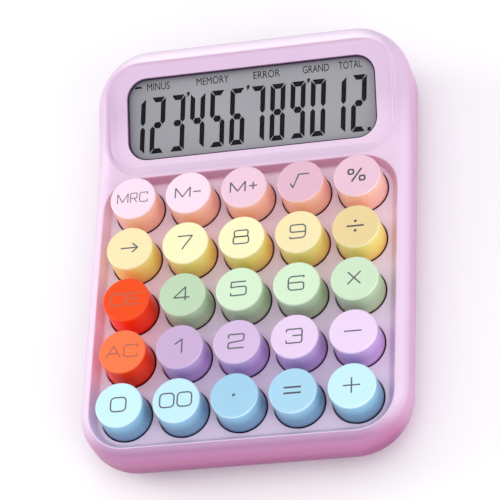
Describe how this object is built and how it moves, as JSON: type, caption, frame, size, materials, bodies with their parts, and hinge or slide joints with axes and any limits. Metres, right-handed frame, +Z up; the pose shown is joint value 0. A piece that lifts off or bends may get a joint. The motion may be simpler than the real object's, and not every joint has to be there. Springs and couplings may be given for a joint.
{
  "type": "desk calculator",
  "caption": "Desk calculator with a tilted numeric display, round candy-coloured press keys in a recessed keypad, and a battery bay underneath.",
  "frame": {"origin": "on the desk, under the middle of the calculator's bounding box", "axes": "+Z up from the desk, +Y from the keypad towards the display, +X to the right as the keys are read"},
  "size_m": [0.1086, 0.15, 0.0304],
  "materials": {
    "case_lilac": "moulded ABS, satin gloss",
    "case_lilac_base": "moulded ABS, fine texture",
    "window_clear": "clear acrylic sheet",
    "lcd_grey": "grey reflective LCD",
    "frame_white": "moulded ABS",
    "screw_steel": "zinc-plated steel",
    "ribbon_film": "printed polyester film",
    "board_green": "solder mask on paper laminate",
    "silicone": "translucent silicone",
    "epoxy_black": "black epoxy",
    "cell_jacket": "printed shrink sleeve",
    "contact_nickel": "nickel-plated spring steel",
    "lead_red": "PVC insulation",
    "lead_black": "PVC insulation",
    "foot_rubber": "moulded rubber",
    "key_blue": "moulded ABS, satin",
    "key_lilac": "moulded ABS, satin",
    "key_green": "moulded ABS, satin",
    "key_yellow": "moulded ABS, satin",
    "key_pink": "moulded ABS, satin",
    "key_orange": "moulded ABS, satin"
  },
  "bodies": {
    "case": {"upper_case": "case_lilac", "lower_case": "case_lilac_base", "display_window": "window_clear", "lcd_glass": "lcd_grey", "lcd_frame": "frame_white", "frame_screws": "screw_steel", "display_ribbon": "ribbon_film", "key_board": "board_green", "board_screws": "screw_steel", "dome_mat": "silicone", "controller_chip": "epoxy_black", "capacitor": "epoxy_black", "battery": "cell_jacket", "battery_spring": "contact_nickel", "positive_plate": "contact_nickel", "negative_plate": "contact_nickel", "red_lead": "lead_red", "black_lead": "lead_black", "case_screws": "screw_steel", "rubber_feet": "foot_rubber"},
    "door": {"battery_door": "case_lilac_base"},
    "cap_0": {"key_0": "key_blue"},
    "cap_00": {"key_00": "key_blue"},
    "cap_point": {"key_point": "key_blue"},
    "cap_equals": {"key_equals": "key_blue"},
    "cap_plus": {"key_plus": "key_blue"},
    "cap_all_clear": {"key_all_clear": "key_orange"},
    "cap_1": {"key_1": "key_lilac"},
    "cap_2": {"key_2": "key_lilac"},
    "cap_3": {"key_3": "key_lilac"},
    "cap_minus": {"key_minus": "key_lilac"},
    "cap_clear_entry": {"key_clear_entry": "key_orange"},
    "cap_4": {"key_4": "key_green"},
    "cap_5": {"key_5": "key_green"},
    "cap_6": {"key_6": "key_green"},
    "cap_multiply": {"key_multiply": "key_green"},
    "cap_backspace": {"key_backspace": "key_yellow"},
    "cap_7": {"key_7": "key_yellow"},
    "cap_8": {"key_8": "key_yellow"},
    "cap_9": {"key_9": "key_yellow"},
    "cap_divide": {"key_divide": "key_yellow"},
    "cap_memory_recall": {"key_memory_recall": "key_pink"},
    "cap_memory_minus": {"key_memory_minus": "key_pink"},
    "cap_memory_plus": {"key_memory_plus": "key_pink"},
    "cap_root": {"key_root": "key_pink"},
    "cap_percent": {"key_percent": "key_pink"}
  },
  "joints": [
    {"name": "door_swing", "type": "hinge", "parent": "case", "child": "door", "pos_m": [-0.0019, 0.0568, 0.003], "axis": [1, 0, 0], "range_deg": [0, 80]},
    {"name": "press_0", "type": "slide", "parent": "case", "child": "cap_0", "axis": [0, 0, -1], "range_m": [0, 0.0025], "stiffness_N_per_m": 150, "springref_m": -0.002, "deforming": ["dome_mat"]},
    {"name": "press_00", "type": "slide", "parent": "case", "child": "cap_00", "axis": [0, 0, -1], "range_m": [0, 0.0025], "stiffness_N_per_m": 150, "springref_m": -0.002, "deforming": ["dome_mat"]},
    {"name": "press_point", "type": "slide", "parent": "case", "child": "cap_point", "axis": [0, 0, -1], "range_m": [0, 0.0025], "stiffness_N_per_m": 150, "springref_m": -0.002, "deforming": ["dome_mat"]},
    {"name": "press_equals", "type": "slide", "parent": "case", "child": "cap_equals", "axis": [0, 0, -1], "range_m": [0, 0.0025], "stiffness_N_per_m": 150, "springref_m": -0.002, "deforming": ["dome_mat"]},
    {"name": "press_plus", "type": "slide", "parent": "case", "child": "cap_plus", "axis": [0, 0, -1], "range_m": [0, 0.0025], "stiffness_N_per_m": 150, "springref_m": -0.002, "deforming": ["dome_mat"]},
    {"name": "press_all_clear", "type": "slide", "parent": "case", "child": "cap_all_clear", "axis": [0, 0, -1], "range_m": [0, 0.0025], "stiffness_N_per_m": 150, "springref_m": -0.002, "deforming": ["dome_mat"]},
    {"name": "press_1", "type": "slide", "parent": "case", "child": "cap_1", "axis": [0, 0, -1], "range_m": [0, 0.0025], "stiffness_N_per_m": 150, "springref_m": -0.002, "deforming": ["dome_mat"]},
    {"name": "press_2", "type": "slide", "parent": "case", "child": "cap_2", "axis": [0, 0, -1], "range_m": [0, 0.0025], "stiffness_N_per_m": 150, "springref_m": -0.002, "deforming": ["dome_mat"]},
    {"name": "press_3", "type": "slide", "parent": "case", "child": "cap_3", "axis": [0, 0, -1], "range_m": [0, 0.0025], "stiffness_N_per_m": 150, "springref_m": -0.002, "deforming": ["dome_mat"]},
    {"name": "press_minus", "type": "slide", "parent": "case", "child": "cap_minus", "axis": [0, 0, -1], "range_m": [0, 0.0025], "stiffness_N_per_m": 150, "springref_m": -0.002, "deforming": ["dome_mat"]},
    {"name": "press_clear_entry", "type": "slide", "parent": "case", "child": "cap_clear_entry", "axis": [0, 0, -1], "range_m": [0, 0.0025], "stiffness_N_per_m": 150, "springref_m": -0.002, "deforming": ["dome_mat"]},
    {"name": "press_4", "type": "slide", "parent": "case", "child": "cap_4", "axis": [0, 0, -1], "range_m": [0, 0.0025], "stiffness_N_per_m": 150, "springref_m": -0.002, "deforming": ["dome_mat"]},
    {"name": "press_5", "type": "slide", "parent": "case", "child": "cap_5", "axis": [0, 0, -1], "range_m": [0, 0.0025], "stiffness_N_per_m": 150, "springref_m": -0.002, "deforming": ["dome_mat"]},
    {"name": "press_6", "type": "slide", "parent": "case", "child": "cap_6", "axis": [0, 0, -1], "range_m": [0, 0.0025], "stiffness_N_per_m": 150, "springref_m": -0.002, "deforming": ["dome_mat"]},
    {"name": "press_multiply", "type": "slide", "parent": "case", "child": "cap_multiply", "axis": [0, 0, -1], "range_m": [0, 0.0025], "stiffness_N_per_m": 150, "springref_m": -0.002, "deforming": ["dome_mat"]},
    {"name": "press_backspace", "type": "slide", "parent": "case", "child": "cap_backspace", "axis": [0, 0, -1], "range_m": [0, 0.0025], "stiffness_N_per_m": 150, "springref_m": -0.002, "deforming": ["dome_mat"]},
    {"name": "press_7", "type": "slide", "parent": "case", "child": "cap_7", "axis": [0, 0, -1], "range_m": [0, 0.0025], "stiffness_N_per_m": 150, "springref_m": -0.002, "deforming": ["dome_mat"]},
    {"name": "press_8", "type": "slide", "parent": "case", "child": "cap_8", "axis": [0, 0, -1], "range_m": [0, 0.0025], "stiffness_N_per_m": 150, "springref_m": -0.002, "deforming": ["dome_mat"]},
    {"name": "press_9", "type": "slide", "parent": "case", "child": "cap_9", "axis": [0, 0, -1], "range_m": [0, 0.0025], "stiffness_N_per_m": 150, "springref_m": -0.002, "deforming": ["dome_mat"]},
    {"name": "press_divide", "type": "slide", "parent": "case", "child": "cap_divide", "axis": [0, 0, -1], "range_m": [0, 0.0025], "stiffness_N_per_m": 150, "springref_m": -0.002, "deforming": ["dome_mat"]},
    {"name": "press_memory_recall", "type": "slide", "parent": "case", "child": "cap_memory_recall", "axis": [0, 0, -1], "range_m": [0, 0.0025], "stiffness_N_per_m": 150, "springref_m": -0.002, "deforming": ["dome_mat"]},
    {"name": "press_memory_minus", "type": "slide", "parent": "case", "child": "cap_memory_minus", "axis": [0, 0, -1], "range_m": [0, 0.0025], "stiffness_N_per_m": 150, "springref_m": -0.002, "deforming": ["dome_mat"]},
    {"name": "press_memory_plus", "type": "slide", "parent": "case", "child": "cap_memory_plus", "axis": [0, 0, -1], "range_m": [0, 0.0025], "stiffness_N_per_m": 150, "springref_m": -0.002, "deforming": ["dome_mat"]},
    {"name": "press_root", "type": "slide", "parent": "case", "child": "cap_root", "axis": [0, 0, -1], "range_m": [0, 0.0025], "stiffness_N_per_m": 150, "springref_m": -0.002, "deforming": ["dome_mat"]},
    {"name": "press_percent", "type": "slide", "parent": "case", "child": "cap_percent", "axis": [0, 0, -1], "range_m": [0, 0.0025], "stiffness_N_per_m": 150, "springref_m": -0.002, "deforming": ["dome_mat"]}
  ]
}
